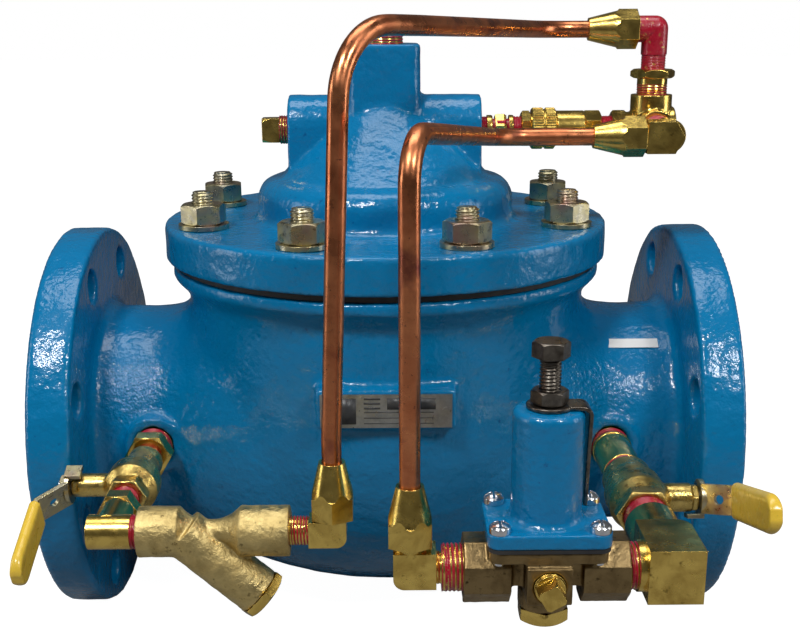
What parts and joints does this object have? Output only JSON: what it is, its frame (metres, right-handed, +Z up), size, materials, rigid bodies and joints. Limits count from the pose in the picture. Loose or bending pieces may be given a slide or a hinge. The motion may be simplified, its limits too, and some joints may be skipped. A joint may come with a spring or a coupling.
{
  "type": "pressure reducing valve",
  "caption": "Flanged globe valve with a diaphragm cover and a pilot line of isolation cocks, strainer, flow control, pilot valve and copper tubes; it holds the outlet pressure down.",
  "frame": {"origin": "centre of the inlet flange's face", "axes": "+X along the pipe with the flow, +Z up along the cover and main stem, -Y towards the pilot valve"},
  "size_m": [0.381, 0.3796, 0.3523],
  "materials": {
    "blue_enamel": "glossy blue enamel over cast iron",
    "brass": "machined, satin",
    "cast_brass": "sand-cast, rough",
    "bronze": "cast bronze, darkened",
    "copper": "drawn copper, lightly tarnished",
    "yellow_zinc": "steel with yellow chromate",
    "steel": "machined",
    "bright_zinc": "bright zinc",
    "dark_steel": "dark plated steel",
    "black_rubber": "matt moulded rubber",
    "ptfe": "smooth",
    "yellow_vinyl": "dipped vinyl",
    "crimson_sealant": "brass thread coated with crimson sealant",
    "plate_metal": "stamped plate",
    "label_paper": "blank paper label"
  },
  "bodies": {
    "valve": {"valve_body": "blue_enamel", "seat_ring": "bronze", "valve_cover": "blue_enamel", "cover_studs": "yellow_zinc", "cover_nuts": "yellow_zinc", "cover_washers": "yellow_zinc", "main_diaphragm": "black_rubber", "stem_bushing": "bronze", "main_spring": "steel", "pipe_plugs": "brass", "inlet_port_bushing": "brass", "inlet_cock_body": "brass", "cock_ball_seats": "ptfe", "inlet_elbow": "brass", "close_nipples": "crimson_sealant", "strainer_body": "cast_brass", "strainer_screen": "steel", "strainer_cap": "brass", "strainer_outlet_elbow": "brass", "flare_nuts": "brass", "cover_control_tube": "copper", "top_elbow": "crimson_sealant", "tee_bushing": "brass", "control_tee": "brass", "front_elbow": "brass", "pilot_supply_tube": "copper", "pilot_inlet_elbow": "brass", "flow_control_body": "brass", "outlet_nipple": "brass", "outlet_cock_body": "brass", "outlet_elbow": "brass", "pilot_body": "bronze", "pilot_seat": "steel", "pilot_diaphragm": "black_rubber", "pilot_bonnet": "blue_enamel", "pilot_screws": "bright_zinc", "pilot_bottom_plug": "brass", "pilot_spring": "steel", "lock_bracket": "dark_steel", "id_plate": "plate_metal", "number_label": "label_paper"},
    "main_stem_group": {"main_stem": "steel", "seat_disc": "black_rubber", "disc_retainer": "steel", "disc_guide": "bronze", "diaphragm_washers": "steel", "main_stem_nut": "steel"},
    "inlet_handle": {"inlet_ball_and_stem": "steel", "inlet_lever": "yellow_zinc", "inlet_lever_grip": "yellow_vinyl", "inlet_lever_nut": "yellow_zinc"},
    "outlet_handle": {"outlet_ball_and_stem": "steel", "outlet_lever": "yellow_zinc", "outlet_lever_grip": "yellow_vinyl", "outlet_lever_nut": "yellow_zinc"},
    "spring_button": {"spring_button": "steel"},
    "adjusting_screw": {"adjusting_screw": "dark_steel"},
    "jam_nut": {"jam_nut": "dark_steel"},
    "pilot_stem": {"pilot_stem": "steel"},
    "flow_sleeve": {"flow_control_sleeve": "brass"}
  },
  "joints": [
    {"name": "main_stem_travel", "type": "slide", "parent": "valve", "child": "main_stem_group", "axis": [0, 0, 1], "range_m": [0, 0.025], "stiffness_N_per_m": 1500, "springref_m": -0.012, "deforming": ["main_spring", "main_diaphragm"]},
    {"name": "inlet_handle_turn", "type": "hinge", "parent": "valve", "child": "inlet_handle", "pos_m": [0.0595, -0.128, 0.004], "axis": [1, 0, 0], "range_deg": [-22, 68]},
    {"name": "outlet_handle_turn", "type": "hinge", "parent": "valve", "child": "outlet_handle", "pos_m": [0.317, -0.143, 0.001], "axis": [1, 0, 0], "range_deg": [-73, 17]},
    {"name": "spring_button_travel", "type": "slide", "parent": "valve", "child": "spring_button", "axis": [0, 0, 1], "range_m": [-0.00954, 0.00318], "deforming": ["pilot_spring"]},
    {"name": "adjusting_screw_turn", "type": "hinge", "parent": "spring_button", "child": "adjusting_screw", "pos_m": [0.2605, -0.2195, 0.08], "axis": [0, 0, 1], "range_deg": [-2230, 790]},
    {"name": "jam_nut_travel", "type": "slide", "parent": "valve", "child": "jam_nut", "axis": [0, 0, 1], "range_m": [0, 0.004]},
    {"name": "pilot_stem_travel", "type": "slide", "parent": "valve", "child": "pilot_stem", "axis": [0, 0, 1], "range_m": [0, 0.0035], "stiffness_N_per_m": 1200, "springref_m": -0.004, "deforming": ["pilot_spring", "pilot_diaphragm"]},
    {"name": "flow_sleeve_turn", "type": "hinge", "parent": "valve", "child": "flow_sleeve", "pos_m": [0.282, 0, 0.172], "axis": [1, 0, 0], "range_deg": [-720, 720]}
  ],
  "couplings": [
    {"joint": "adjusting_screw_turn", "follows": "spring_button_travel", "rad_per_m": 3951.7}
  ]
}
